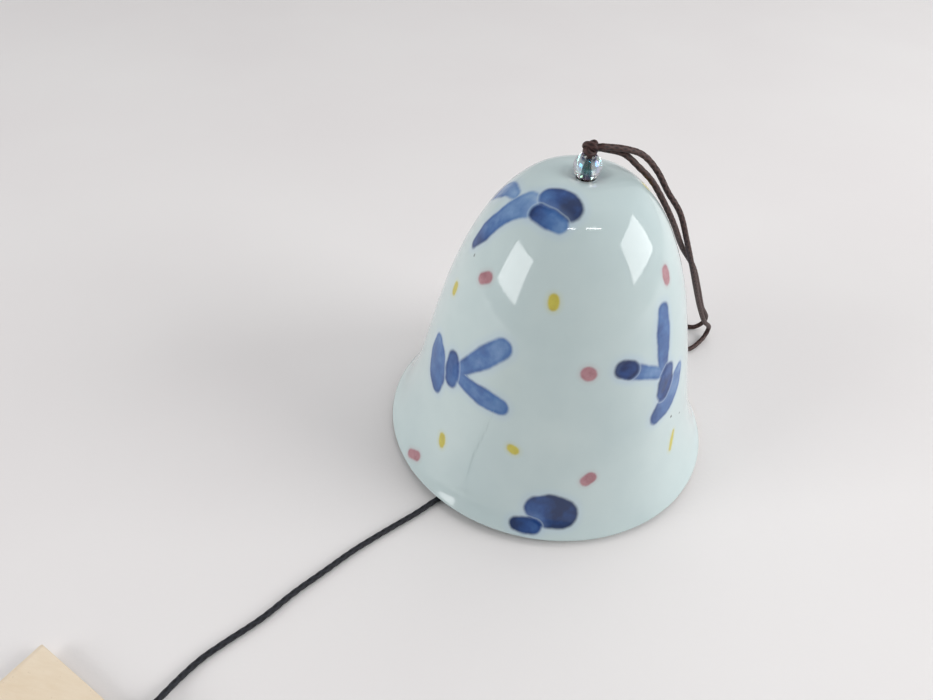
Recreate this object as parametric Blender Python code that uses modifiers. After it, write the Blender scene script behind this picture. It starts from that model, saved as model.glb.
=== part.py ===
"""Porcelain wind bell, standing on its mouth with its cords laid out on the table.

The origin is on the table under the middle of the mouth.  +Z is up, and -Y is the front.
The clapper's cord leaves under the lip at the front left, so the bell leans a little
towards the back right: one side of its rim is on the table, the other on that cord.
"""
import math

import bmesh
import bpy
from mathutils import Matrix, Vector

MM = 0.001

# Bell shell
MOUTH_D = 90.0 * MM
HEIGHT = 78.6 * MM
WALL = 2.6 * MM
LIP_ROUND = 0.7 * MM
FOOT_WIDTH = 1.8 * MM
CROWN_HOLE_D = 4.2 * MM
HOLE_EDGE_ROUND = 0.5 * MM
DIMPLE_DEPTH = 0.8 * MM
DIMPLE_D = 13.0 * MM

# Share of the mouth radius and of the height, from above the lip to the crown's highest ring
BODY_CURVE = (
    (0.963, 0.050), (0.911, 0.114), (0.844, 0.216), (0.787, 0.344), (0.728, 0.484),
    (0.651, 0.637), (0.562, 0.765), (0.462, 0.868), (0.352, 0.943), (0.262, 0.981),
)

# Cords
WIND_CORD_D = 1.5 * MM
HANGER_CORD_D = 1.5 * MM
STEM_D = 2.5 * MM

# Pieces on the hanger cord
BEAD_D = 6.5 * MM
HANGER_KNOT_D = 3.8 * MM
WASHER_D = 9.0 * MM
WASHER_THICKNESS = 1.0 * MM
INNER_KNOT_D = 4.6 * MM

# Clapper
PIVOT_KNOT_D = 3.4 * MM
CLAPPER_D = 20.0 * MM
CLAPPER_HEIGHT = 17.0 * MM
CLAPPER_DROP = 36.0 * MM
CLAPPER_KNOT_D = 4.2 * MM

# Paper strip
STRIP_LENGTH = 150.0 * MM
STRIP_WIDTH = 60.0 * MM
STRIP_THICKNESS = 0.6 * MM
STRIP_HOLE_D = 5.0 * MM
STRIP_HOLE_FROM_EDGE = 7.0 * MM
STRIP_KNOT_D = 4.2 * MM
STRIP_EDGE_FROM_KNOT = 3.0 * MM
STRIP_HEADING = math.radians(248.0)
STRIP_KNOT_XY = (-71.1 * MM, -103.1 * MM)

CLEARANCE = 0.3 * MM
BIGHT_END_GAP = 0.6 * MM
CORD_EXIT_HEADING = math.radians(237.0)
PROFILE_STEP = 3.9 * MM
CORD_STEP = 1.8 * MM
SHELL_STEPS = 60
SMALL_STEPS = 24

# The wind cord under the clapper: across the mouth, under the lip and over to the strip
WIND_CORD_ROUTE = (
    (2.4, 1.4, 3.2), (5.6, 1.0, 1.1), (9.6, -1.6, 0.75), (11.4, -7.0, 0.75),
    (8.0, -12.6, 0.75), (1.0, -17.4, 0.75), (-8.0, -23.0, 0.75), (-16.4, -29.6, 0.75),
    (-23.7, -36.8, 0.75), (-28.8, -43.0, 0.75), (-35.1, -49.9, 0.75), (-41.1, -56.8, 0.75),
    (-46.4, -63.9, 0.75), (-51.6, -70.9, 0.75), (-56.3, -78.2, 0.75), (-62.5, -85.8, 0.75),
    (-65.6, -89.9, 0.75), (-68.0, -94.4, 0.85), (-69.5, -98.3, 1.4),
)

# The hanging loop: from the knot over the shoulder, round its end on the table, and back
HANGER_ROUTE = (
    (3.4, 1.0, 86.6), (8.5, 4.0, 85.2), (12.9, 7.3, 82.6), (16.9, 9.8, 78.0),
    (20.9, 12.1, 71.5), (25.4, 14.7, 64.7), (29.4, 17.3, 55.2), (33.7, 21.8, 43.8),
    (36.5, 25.6, 35.9), (41.4, 33.6, 22.2), (46.2, 41.6, 10.4), (48.5, 45.5, 6.2),
    (49.4, 47.2, 3.9), (49.2, 46.9, 1.9), (47.9, 44.6, 0.8), (43.5, 38.6, 0.75),
    (38.0, 36.8, 0.75), (32.4, 38.2, 0.75), (27.6, 42.4, 0.75), (25.4, 48.2, 0.75),
    (28.2, 53.4, 0.75), (34.0, 54.6, 0.75), (39.4, 51.6, 0.75), (43.0, 50.0, 0.75),
    (45.6, 50.2, 0.95), (47.8, 50.9, 2.6), (48.2, 50.3, 5.4), (46.6, 47.3, 9.8),
    (44.4, 43.6, 14.6), (40.0, 35.8, 27.0), (34.8, 27.2, 40.8), (28.7, 18.9, 52.5),
    (24.0, 11.6, 63.5), (20.4, 9.2, 70.0), (16.2, 7.9, 76.1), (12.5, 7.0, 79.7),
    (8.6, 5.7, 83.1), (3.4, 2.75, 85.3),
)


def clear_scene():
    for thing in list(bpy.data.objects):
        bpy.data.objects.remove(thing)


def new_collection(name):
    collection = bpy.data.collections.new(name)
    bpy.context.scene.collection.children.link(collection)
    return collection


def material(name, color, roughness, metallic=0.0, transmission=0.0):
    made = bpy.data.materials.new(name)
    made.use_nodes = True
    shader = made.node_tree.nodes["Principled BSDF"]
    shader.inputs["Base Color"].default_value = (*color, 1.0)
    shader.inputs["Roughness"].default_value = roughness
    shader.inputs["Metallic"].default_value = metallic
    shader.inputs["Transmission Weight"].default_value = transmission
    return made


def add_object(name, data, finish, collection, parent=None):
    piece = bpy.data.objects.new(name, data)
    collection.objects.link(piece)
    if finish:
        data.materials.append(finish)
    piece.parent = parent
    return piece


def spline_through(route, spacing):
    """Points evenly spaced on a smooth curve that passes through every point of the route."""
    points = [Vector(point) for point in route]
    ends = [2 * points[0] - points[1], *points, 2 * points[-1] - points[-2]]
    fine = []
    for before, start, end, after in zip(ends, ends[1:], ends[2:], ends[3:]):
        knots = [0.0]
        for one, two in ((before, start), (start, end), (end, after)):
            knots.append(knots[-1] + math.sqrt((two - one).length))
        for step in range(12):
            t = knots[1] + (knots[2] - knots[1]) * step / 12
            a = [one.lerp(two, (t - knots[i]) / (knots[i + 1] - knots[i]))
                 for i, (one, two) in enumerate(((before, start), (start, end), (end, after)))]
            b = [a[i].lerp(a[i + 1], (t - knots[i]) / (knots[i + 2] - knots[i])) for i in range(2)]
            fine.append(b[0].lerp(b[1], (t - knots[1]) / (knots[2] - knots[1])))
    fine.append(points[-1])
    travelled = [0.0]
    for one, two in zip(fine, fine[1:]):
        travelled.append(travelled[-1] + (two - one).length)
    count = max(2, round(travelled[-1] / spacing))
    even = []
    index = 0
    for step in range(count + 1):
        target = travelled[-1] * step / count
        while index < len(fine) - 2 and travelled[index + 1] < target:
            index += 1
        run = travelled[index + 1] - travelled[index]
        even.append(fine[index].lerp(fine[index + 1], (target - travelled[index]) / run))
    return even


def laid_route(route, diameter):
    """A cord's points, read from its smooth route, with no part of it under the table."""
    points = spline_through(route, CORD_STEP)
    for point in points:
        point.z = max(point.z, diameter / 2)
    return points


def turned(name, outline, steps, finish, collection, parent=None):
    """A closed outline of (radius, height) points turned about Z."""
    mesh = bpy.data.meshes.new(name)
    count = len(outline)
    edges = [(i, (i + 1) % count) for i in range(count)]
    mesh.from_pydata([(r, 0.0, z) for r, z in outline], edges, [])
    piece = add_object(name, mesh, finish, collection, parent)
    screw = piece.modifiers.new("turn", "SCREW")
    screw.axis = "Z"
    screw.steps = steps
    screw.render_steps = steps
    screw.use_merge_vertices = True
    screw.merge_threshold = 0.00001
    screw.use_smooth_shade = True
    return piece


def tube(name, points, diameter, finish, collection):
    curve = bpy.data.curves.new(name, "CURVE")
    curve.dimensions = "3D"
    spline = curve.splines.new("POLY")
    spline.points.add(len(points) - 1)
    for place, point in zip(spline.points, points):
        place.co = (*point, 1.0)
    curve.bevel_depth = diameter / 2
    curve.bevel_resolution = 2
    curve.use_fill_caps = True
    return add_object(name, curve, finish, collection)


def rod(name, diameter, bottom, top, finish, collection, parent):
    mesh = bpy.data.meshes.new(name)
    cage = bmesh.new()
    middle = Matrix.Translation((0.0, 0.0, (bottom + top) / 2))
    bmesh.ops.create_cone(cage, cap_ends=True, segments=16, radius1=diameter / 2,
                          radius2=diameter / 2, depth=top - bottom, matrix=middle)
    cage.to_mesh(mesh)
    cage.free()
    return add_object(name, mesh, finish, collection, parent)


def knot(name, diameter, center, finish, collection, parent=None):
    mesh = bpy.data.meshes.new(name)
    cage = bmesh.new()
    bmesh.ops.create_uvsphere(cage, u_segments=16, v_segments=10, radius=diameter / 2,
                              matrix=Matrix.Translation(center))
    cage.to_mesh(mesh)
    cage.free()
    mesh.shade_smooth()
    return add_object(name, mesh, finish, collection, parent)


def under_hole(radius, hole_radius):
    """How far a ball's middle stands from the rim of the hole that it is held against."""
    return math.sqrt((radius + CLEARANCE) ** 2 - hole_radius ** 2)


def outer_curve():
    """The bell's outside, from the rim of the crown hole down to the edge of the foot."""
    radius = MOUTH_D / 2
    hole = CROWN_HOLE_D / 2 + HOLE_EDGE_ROUND
    dimple = [(hole, HEIGHT - DIMPLE_DEPTH),
              ((hole + DIMPLE_D / 2) / 2, HEIGHT - 0.25 * DIMPLE_DEPTH),
              (DIMPLE_D / 2, HEIGHT)]
    body = [(share_r * radius, share_z * HEIGHT) for share_r, share_z in reversed(BODY_CURVE)]
    lip = [(radius, LIP_ROUND)]
    route = [(r, 0.0, z) for r, z in dimple + body + lip]
    return [(point.x, point.z) for point in spline_through(route, PROFILE_STEP)]


def inner_curve(outside):
    """The inside, one wall in from the outside, from the foot up to the crown hole."""
    inside = []
    for before, here, after in zip(outside, outside[1:], outside[2:]):
        along = Vector((after[0] - before[0], after[1] - before[1])).normalized()
        inside.append((here[0] + along.y * WALL, here[1] - along.x * WALL))
    foot_level = LIP_ROUND + FOOT_WIDTH / 2
    hole = CROWN_HOLE_D / 2
    kept = [(r, z) for r, z in inside if r > hole + WALL / 3 and z > foot_level]
    return [(hole, kept[0][1]), *kept][::-1]


def shell_outline():
    outside = outer_curve()
    foot_edge = MOUTH_D / 2 - LIP_ROUND
    hole = CROWN_HOLE_D / 2
    foot = [(foot_edge + LIP_ROUND * 0.7, LIP_ROUND * 0.3), (foot_edge, 0.0),
            (foot_edge - FOOT_WIDTH, 0.0)]
    edge = [(hole, outside[0][1] - HOLE_EDGE_ROUND),
            (hole + HOLE_EDGE_ROUND * 0.3, outside[0][1] - HOLE_EDGE_ROUND * 0.3)]
    return edge + outside + foot + inner_curve(outside)


def lean():
    """The lean that lifts the inner edge of the foot clear of the cord on one side."""
    foot_edge = MOUTH_D / 2 - LIP_ROUND
    return math.asin((WIND_CORD_D + CLEARANCE) / (2 * foot_edge - FOOT_WIDTH))


def bell_axis(collection):
    """An empty in the middle of the mouth, with its Z along the leaning bell's axis."""
    empty = bpy.data.objects.new("bell_axis", None)
    collection.objects.link(empty)
    across = Vector((math.sin(CORD_EXIT_HEADING), -math.cos(CORD_EXIT_HEADING), 0.0))
    lift = (MOUTH_D / 2 - LIP_ROUND) * math.sin(lean())
    turn = Matrix.Rotation(lean(), 4, across)
    empty.matrix_world = Matrix.Translation((0.0, 0.0, lift)) @ turn
    return empty


def bead_outline(middle):
    """A drilled ball: down its outside, then up the bore."""
    radius = BEAD_D / 2
    bore = STEM_D / 2 + CLEARANCE
    steepest = math.acos(bore / radius)
    arc = [steepest - 2 * steepest * i / 12 for i in range(13)]
    return [(radius * math.cos(a), middle + radius * math.sin(a)) for a in arc]


def clapper_outline(middle):
    """A drilled egg with flattened ends: down its outside, then up the bore."""
    bore = WIND_CORD_D / 2 + CLEARANCE
    steepest = math.acos((bore / (CLAPPER_D / 2)) ** 1.25)
    arc = [steepest - 2 * steepest * i / 16 for i in range(17)]
    outline = []
    for angle in arc:
        across = CLAPPER_D / 2 * math.cos(angle) ** 0.8
        up = CLAPPER_HEIGHT / 2 * math.copysign(abs(math.sin(angle)) ** 0.8, angle)
        outline.append((across, middle + up))
    return outline


def build_hanger(frame, parts, finishes):
    """The doubled cord through the crown, with what it holds above and under the hole."""
    outline = shell_outline()
    turned("bell_shell", outline, SHELL_STEPS, finishes["porcelain"], parts, frame)

    seat = [z + math.sqrt((BEAD_D / 2 + CLEARANCE) ** 2 - r ** 2)
            for r, z in outline if r < BEAD_D / 2]
    bead_z = max(seat)
    turned("crown_bead", bead_outline(bead_z), SMALL_STEPS, finishes["glass"], parts, frame)
    bore = STEM_D / 2 + CLEARANCE
    bore_rim = bead_z + math.sqrt((BEAD_D / 2) ** 2 - bore ** 2)
    top_knot_z = bore_rim + under_hole(HANGER_KNOT_D / 2, bore)
    knot("hanger_knot", HANGER_KNOT_D, (0.0, 0.0, top_knot_z), finishes["brown"], parts, frame)

    ceiling = min(z for r, z in inner_curve(outer_curve()) if r < WASHER_D / 2 + WALL)
    washer_top = ceiling - CLEARANCE
    washer_low = washer_top - WASHER_THICKNESS
    ring = [(bore, washer_top), (WASHER_D / 2, washer_top),
            (WASHER_D / 2, washer_low), (bore, washer_low)]
    turned("inner_washer", ring, SMALL_STEPS, finishes["washer"], parts, frame)
    inner_knot_z = washer_low - under_hole(INNER_KNOT_D / 2, bore)
    knot("inner_knot", INNER_KNOT_D, (0.0, 0.0, inner_knot_z), finishes["brown"], parts, frame)
    stem_low = inner_knot_z + INNER_KNOT_D / 2 + CLEARANCE
    stem_top = top_knot_z - HANGER_KNOT_D / 2 - CLEARANCE
    rod("hanger_stem", STEM_D, stem_low, stem_top, finishes["brown"], parts, frame)
    return inner_knot_z - (INNER_KNOT_D + PIVOT_KNOT_D) / 2 - CLEARANCE


def build_clapper(pivot, parts, finishes):
    """What hangs plumb under the inner knot, on the pivot's own vertical line."""
    knot("clapper_cord_knot", PIVOT_KNOT_D, (0, 0, 0), finishes["black"], parts, pivot)
    bore = WIND_CORD_D / 2 + CLEARANCE
    outline = clapper_outline(-CLAPPER_DROP)
    turned("clapper", outline, SMALL_STEPS + 8, finishes["porcelain"], parts, pivot)
    low_knot = outline[-1][1] - under_hole(CLAPPER_KNOT_D / 2, bore)
    knot("clapper_knot", CLAPPER_KNOT_D, (0, 0, low_knot), finishes["black"], parts, pivot)
    rod("clapper_cord", WIND_CORD_D, low_knot + CLAPPER_KNOT_D / 2 + CLEARANCE,
        -PIVOT_KNOT_D / 2 - CLEARANCE, finishes["black"], parts, pivot)
    return low_knot - CLAPPER_KNOT_D / 2 - CLEARANCE


def build_cords(cord_top, parts, finishes):
    straight = [cord_top - Vector((0.0, 0.0, drop * MM)) for drop in (0.0, 4.0, 8.0)]
    knot_center = Vector((*STRIP_KNOT_XY, STRIP_KNOT_D / 2))
    laid = [Vector(point) * MM for point in WIND_CORD_ROUTE]
    approach = (laid[-1] - knot_center).normalized()
    end = knot_center + approach * (STRIP_KNOT_D / 2 + CLEARANCE)
    route = straight + laid[:-1] + [end]
    tube("wind_cord", laid_route(route, WIND_CORD_D), WIND_CORD_D, finishes["black"], parts)
    hanger = [Vector(point) * MM for point in HANGER_ROUTE]
    tube("hanger_loop", laid_route(hanger, HANGER_CORD_D), HANGER_CORD_D,
         finishes["brown"], parts)


def cut_hole(piece, radius, x, cutters):
    """Drill the strip with a round cutter that stands on its plane."""
    mesh = bpy.data.meshes.new("strip_hole")
    cage = bmesh.new()
    bmesh.ops.create_cone(cage, cap_ends=True, segments=24, radius1=radius, radius2=radius,
                          depth=20 * STRIP_THICKNESS, matrix=Matrix.Translation((x, 0, 0)))
    cage.to_mesh(mesh)
    cage.free()
    cutter = add_object("strip_hole", mesh, None, cutters, piece)
    cutter.display_type = "WIRE"
    cutter.hide_render = True
    drill = piece.modifiers.new("hole", "BOOLEAN")
    drill.operation = "DIFFERENCE"
    drill.solver = "EXACT"
    drill.object = cutter


def build_strip(parts, cutters, finishes):
    """The paper strip, its knot, and the bight of cord through its hole."""
    pivot = bpy.data.objects.new("strip_pivot", None)
    parts.objects.link(pivot)
    pivot.matrix_world = (Matrix.Translation((*STRIP_KNOT_XY, STRIP_KNOT_D / 2))
                          @ Matrix.Rotation(STRIP_HEADING, 4, "Z"))
    knot("tanzaku_knot", STRIP_KNOT_D, (0, 0, 0), finishes["black"], parts, pivot)

    hole_x = STRIP_EDGE_FROM_KNOT + STRIP_HOLE_FROM_EDGE
    reach = STRIP_EDGE_FROM_KNOT + STRIP_LENGTH
    slope = math.asin((WIND_CORD_D + CLEARANCE) / (reach - hole_x))
    low = WIND_CORD_D / 2 - STRIP_KNOT_D / 2
    under = WIND_CORD_D + CLEARANCE - STRIP_KNOT_D / 2
    edge_top = under + STRIP_THICKNESS + STRIP_HOLE_FROM_EDGE * math.sin(slope)
    high = edge_top + CLEARANCE + WIND_CORD_D / 2
    bend = (high - low) / 2
    bight_x = hole_x - bend / 2
    start = math.sqrt((STRIP_KNOT_D / 2 + BIGHT_END_GAP) ** 2 - low ** 2)
    end = math.sqrt((STRIP_KNOT_D / 2 + BIGHT_END_GAP) ** 2 - high ** 2)
    turn = [(bight_x + bend * math.cos(a), (high + low) / 2 + bend * math.sin(a))
            for a in (math.radians(-90 + 22.5 * i) for i in range(9))]
    line = [(start, low), *turn, (end, high)]
    points = [Vector((x, 0.0, z)) for x, z in line]
    bight = tube("tanzaku_loop", points, WIND_CORD_D, finishes["black"], parts)
    bight.parent = pivot

    mesh = bpy.data.meshes.new("tanzaku")
    cage = bmesh.new()
    bmesh.ops.create_cube(cage, size=1.0, matrix=Matrix.Diagonal(
        (STRIP_LENGTH, STRIP_WIDTH, STRIP_THICKNESS, 1.0)))
    cage.to_mesh(mesh)
    cage.free()
    strip = add_object("tanzaku", mesh, finishes["paper"], parts, pivot)
    from_hole = STRIP_LENGTH / 2 - STRIP_HOLE_FROM_EDGE
    lift = Matrix.Translation((hole_x, 0.0, under))
    flat = Matrix.Translation((from_hole, 0.0, STRIP_THICKNESS / 2))
    strip.matrix_local = lift @ Matrix.Rotation(slope, 4, "Y") @ flat
    cut_hole(strip, STRIP_HOLE_D / 2, -from_hole, cutters)


def build():
    clear_scene()
    parts = new_collection("porcelain_wind_bell")
    cutters = new_collection("cutters")
    finishes = {
        "porcelain": material("glazed_porcelain", (0.80, 0.86, 0.86), 0.08),
        "glass": material("clear_glass", (0.92, 0.92, 0.95), 0.03, transmission=0.9),
        "brown": material("brown_cord", (0.045, 0.025, 0.02), 0.55),
        "black": material("black_cord", (0.012, 0.013, 0.02), 0.6),
        "washer": material("washer_plastic", (0.75, 0.75, 0.72), 0.4),
        "paper": material("cream_card", (0.90, 0.83, 0.68), 0.85),
    }
    frame = bell_axis(parts)
    pivot_z = build_hanger(frame, parts, finishes)
    pivot = bpy.data.objects.new("clapper_pivot", None)
    parts.objects.link(pivot)
    pivot.location = frame.matrix_world @ Vector((0.0, 0.0, pivot_z))
    cord_drop = build_clapper(pivot, parts, finishes)
    build_cords(pivot.location + Vector((0.0, 0.0, cord_drop)), parts, finishes)
    build_strip(parts, cutters, finishes)


build()
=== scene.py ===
"""Porcelain wind bell standing on its mouth, with its cords laid out: the looks of the part."""
import math

import bpy
import numpy as np
from mathutils import Matrix, Vector


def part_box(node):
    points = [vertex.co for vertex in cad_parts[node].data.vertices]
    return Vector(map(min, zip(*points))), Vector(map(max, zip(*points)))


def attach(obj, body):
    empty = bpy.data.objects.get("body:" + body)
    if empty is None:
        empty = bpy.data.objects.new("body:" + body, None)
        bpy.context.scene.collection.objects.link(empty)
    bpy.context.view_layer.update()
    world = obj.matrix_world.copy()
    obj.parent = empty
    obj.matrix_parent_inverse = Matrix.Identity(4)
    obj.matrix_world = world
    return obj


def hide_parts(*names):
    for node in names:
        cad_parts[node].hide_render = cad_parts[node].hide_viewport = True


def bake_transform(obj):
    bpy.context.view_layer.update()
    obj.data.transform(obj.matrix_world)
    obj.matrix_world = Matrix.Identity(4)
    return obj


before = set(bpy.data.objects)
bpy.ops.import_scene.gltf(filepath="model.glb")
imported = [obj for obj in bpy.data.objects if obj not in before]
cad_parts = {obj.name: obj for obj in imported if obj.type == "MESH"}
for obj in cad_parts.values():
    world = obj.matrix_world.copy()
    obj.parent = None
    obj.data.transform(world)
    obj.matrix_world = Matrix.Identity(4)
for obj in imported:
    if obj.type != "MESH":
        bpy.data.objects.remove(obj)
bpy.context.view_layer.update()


# ---------------------------------------------------------------------------------------------
# Bell shell.  Slip-cast porcelain, turned to a smooth flared bell, brushed with cobalt blue,
# pink and yellow under a glossy pale blue-green glaze.  The foot is wiped bare where it stands,
# and the whole bell leans a degree because its clapper's cord leaves under one side of the lip.
MM = 0.001
MOUTH_RADIUS = 45.0 * MM
SHELL_HEIGHT = 78.6 * MM
SHELL_WALL = 2.6 * MM
LIP_ROUND = 0.7 * MM
FOOT_WIDTH = 1.8 * MM
CROWN_HOLE_RADIUS = 2.1 * MM
HOLE_EDGE_ROUND = 0.5 * MM
DIMPLE_DEPTH = 0.8 * MM
DIMPLE_RADIUS = 6.5 * MM
# The outline from the lip up, as shares of the mouth radius and of the height.
BODY_CURVE = (
    (0.953, 0.050), (0.901, 0.114), (0.841, 0.216), (0.787, 0.344), (0.728, 0.484),
    (0.651, 0.637), (0.562, 0.765), (0.462, 0.868), (0.352, 0.943), (0.262, 0.981),
)
CORD_RADIUS = 0.75 * MM
CLEARANCE = 0.3 * MM
CORD_EXIT_HEADING = math.radians(237.0)
SHELL_TURNS = 360
OUTLINE_STEP = 0.5 * MM
WALL_WANDER = 0.05 * MM

foot_edge = MOUTH_RADIUS - LIP_ROUND
lean = math.asin((2 * CORD_RADIUS + CLEARANCE) / (2 * foot_edge - FOOT_WIDTH))
tilt_axis = Vector((math.sin(CORD_EXIT_HEADING), -math.cos(CORD_EXIT_HEADING), 0.0))
bell_place = (Matrix.Translation((0.0, 0.0, foot_edge * math.sin(lean)))
              @ Matrix.Rotation(lean, 4, tilt_axis))


def moved(points, place):
    """Points carried by a placing matrix: each is turned by its 3 x 3 part and then shifted."""
    matrix = np.array(place)
    return points @ matrix[:3, :3].T + matrix[:3, 3]


def smooth_line(route, step):
    """Points a fixed step apart on the centripetal Catmull-Rom curve through a route: each span
    blends its four nearest points, at parameters spaced by the root of their distances."""
    p = np.asarray(route, float)
    p = np.vstack([2 * p[0] - p[1], p, 2 * p[-1] - p[-2]])
    a, b, c, d = (q[:, None, :] for q in (p[:-3], p[1:-2], p[2:-1], p[3:]))

    def gap(one, two):
        return np.sqrt(np.linalg.norm(two - one, axis=2, keepdims=True))

    def between(one, two, start, end):
        return one + (two - one) * (t - start) / (end - start)

    t1 = gap(a, b)
    t2 = t1 + gap(b, c)
    t3 = t2 + gap(c, d)
    t = t1 + (t2 - t1) * np.linspace(0, 1, 24, endpoint=False)[None, :, None]
    ab, bc, cd = between(a, b, 0, t1), between(b, c, t1, t2), between(c, d, t2, t3)
    fine = between(between(ab, bc, 0, t2), between(bc, cd, t1, t3), t1, t2)
    fine = np.vstack([fine.reshape(-1, p.shape[1]), p[-2]])
    run = np.concatenate([[0], np.cumsum(np.linalg.norm(np.diff(fine, axis=0), axis=1))])
    even = np.linspace(0, run[-1], max(2, round(run[-1] / step)) + 1)
    return np.column_stack([np.interp(even, run, axis) for axis in fine.T])


def woven_surface(name, points, run_shut=False, capped=False):
    """A mesh over a grid of points, rows along the run and columns round the ring: each face
    joins a point to the next in both directions.  Its UV map holds the share of the ring and
    the metres along the run.  Capped ends are fans to the middle of the first and last ring."""
    rows, columns = points.shape[:2]
    i = np.arange(rows if run_shut else rows - 1)[:, None]
    j = np.arange(columns)[None, :]
    corners = [(i + 0 * j, j + 0 * i), (i + 1, j + 0 * i), (i + 1, j + 1), (i + 0 * j, j + 1)]
    corners = [tuple(np.broadcast_to(x, (i.size, j.size)) for x in pair) for pair in corners]
    faces = np.stack([(a % rows) * columns + b % columns for a, b in corners], -1).reshape(-1, 4)
    step = np.linalg.norm(np.diff(points.mean(axis=1), axis=0), axis=1)
    run = np.concatenate([[0], np.cumsum(step)])
    run = np.append(run, run[-1] + step.mean())
    uv = np.stack([np.stack([b / columns, run[a]], -1) for a, b in corners], 2).reshape(-1, 2)
    vertices, fans = points.reshape(-1, 3), []
    if capped:
        around, last = np.arange(columns), (rows - 1) * columns
        after = (around + 1) % columns
        start, end = len(vertices), len(vertices) + 1
        vertices = np.vstack([vertices, points[0].mean(0), points[-1].mean(0)])
        fans = [np.column_stack([around * 0 + start, around, after]),
                np.column_stack([around * 0 + end, last + after, last + around])]
        uv = np.vstack([uv] + [np.tile((0.5, run[at]), (3 * columns, 1)) for at in (0, rows - 1)])
    mesh = bpy.data.meshes.new(name)
    faces = faces.tolist() + [face for fan in fans for face in fan.tolist()]
    mesh.from_pydata(vertices.tolist(), [], faces)
    mesh.uv_layers.new(name="along").data.foreach_set("uv", uv.ravel())
    mesh.shade_smooth()
    piece = bpy.data.objects.new(name, mesh)
    bpy.context.scene.collection.objects.link(piece)
    return piece


def turned_points(outline, turns):
    """Points of a turned surface: radius r and height z of the outline, carried round the axis
    as (r cos a, r sin a, z)."""
    angle = np.linspace(0, 2 * np.pi, turns, endpoint=False)
    r, z = outline[:, 0, None], outline[:, 1, None]
    return np.stack([r * np.cos(angle), r * np.sin(angle), z + 0 * angle], -1)


def arc(centre, radius, start, end, steps):
    """Points (r, z) on a circle arc of the outline, from one angle to the other, in degrees."""
    angle = np.radians(np.linspace(start, end, steps))
    return np.column_stack([centre[0] + radius * np.cos(angle),
                            centre[1] + radius * np.sin(angle)])


hole_radius = CROWN_HOLE_RADIUS + HOLE_EDGE_ROUND
dimple = [(hole_radius, SHELL_HEIGHT - DIMPLE_DEPTH),
          ((hole_radius + DIMPLE_RADIUS) / 2, SHELL_HEIGHT - 0.25 * DIMPLE_DEPTH),
          (DIMPLE_RADIUS, SHELL_HEIGHT)]
body = [(share * MOUTH_RADIUS, up * SHELL_HEIGHT) for share, up in reversed(BODY_CURVE)]
outside = smooth_line(dimple + body + [(MOUTH_RADIUS, LIP_ROUND)], OUTLINE_STEP)
direction = np.gradient(outside, axis=0)
direction /= np.linalg.norm(direction, axis=1, keepdims=True)
inside = (outside + np.column_stack([direction[:, 1], -direction[:, 0]]) * SHELL_WALL)[::-4]
inside = inside[(inside[:, 0] > CROWN_HOLE_RADIUS + SHELL_WALL / 3)
                & (inside[:, 1] > LIP_ROUND + FOOT_WIDTH / 2)]
lip = arc((foot_edge, LIP_ROUND), LIP_ROUND, 0, -90, 8)[1:]
foot_inside = [(foot_edge - FOOT_WIDTH, 0.0)]
hole_edge = arc((hole_radius, outside[0, 1] - HOLE_EDGE_ROUND), HOLE_EDGE_ROUND, 180, 90, 7)[:-1]
hole_low = [(CROWN_HOLE_RADIUS, inside[-1, 1])]
shell_outline = np.vstack([outside, lip, foot_inside, inside, hole_low, hole_edge])
shell_points = turned_points(shell_outline, SHELL_TURNS)

# The hand-made wall wanders a little inwards, most of it half way up.
around = np.arctan2(shell_points[..., 1], shell_points[..., 0])
up = shell_points[..., 2] / SHELL_HEIGHT
wander = WALL_WANDER * (np.sin(2 * around + 1.0) + 0.6 * np.sin(3 * around + 9 * up) - 1.6)
wander *= np.sin(np.pi * np.clip(up, 0, 1)) * (shell_points[..., 2] > LIP_ROUND)
radius = np.hypot(shell_points[..., 0], shell_points[..., 1])
shell_points[..., :2] *= (1 + wander / radius)[..., None]
porcelain_shell = woven_surface("porcelain_shell", moved(shell_points, bell_place), run_shut=True)


def on_shell(azimuth, height):
    """Points (r cos a, r sin a, z) on the outside of the upright bell, r read from its outline."""
    a, z = np.radians(np.asarray(azimuth, float)), np.asarray(height, float) * MM
    r = np.interp(z, outside[::-1, 1], outside[::-1, 0])
    return np.column_stack([r * np.cos(a), r * np.sin(a), z])


def brush_dab(places, spine, widths, tones):
    """How deep each place is inside a brush dab, in mm, and how much colour the brush left there.
    The dab is what a round brush covers along its spine: the largest of width minus distance."""
    line = smooth_line(on_shell(*zip(*spine)), OUTLINE_STEP)
    share = np.linspace(0, 1, len(line))
    wide = np.interp(share, np.linspace(0, 1, len(widths)), widths)
    tone = np.interp(share, np.linspace(0, 1, len(tones)), tones)
    depth = wide - np.linalg.norm(places[:, None] - line, axis=2) / MM
    weight = np.exp((depth - depth.max(axis=1, keepdims=True)) / 0.5)
    return depth.max(axis=1), (weight * tone).sum(axis=1) / weight.sum(axis=1)


DAB_REACH = 18.0 * MM
FAR_OUTSIDE = -9.0

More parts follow.
